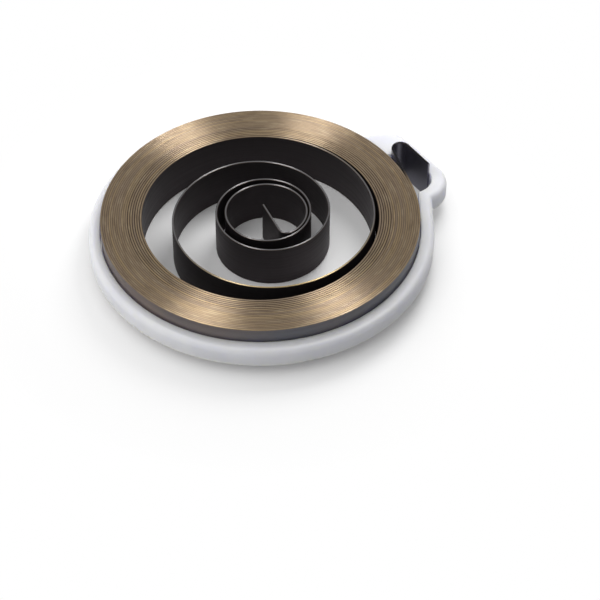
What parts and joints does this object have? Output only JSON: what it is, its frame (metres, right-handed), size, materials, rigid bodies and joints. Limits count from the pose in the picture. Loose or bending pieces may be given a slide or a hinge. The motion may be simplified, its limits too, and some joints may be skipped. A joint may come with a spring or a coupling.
{
  "type": "constant force spring",
  "caption": "Flat spiral spring of thin steel strip with a hooked outer end and a bent inner tab, held wound in a plastic retaining ring.",
  "frame": {"origin": "on the coil's axis, in the plane of the strip's lower edges, which is the surface it rests on", "axes": "+Z along the coil's axis; +X from the axis through the bend of the outer hook, at the lug of the ring"},
  "size_m": [0.0643, 0.0597, 0.008],
  "materials": {
    "strip": "blued spring steel, dark on the faces and bronze along the slit edges",
    "ring": "milky natural nylon, satin"
  },
  "bodies": {
    "root": {"spring_strip": "strip", "retaining_ring": "ring"}
  },
  "joints": []
}
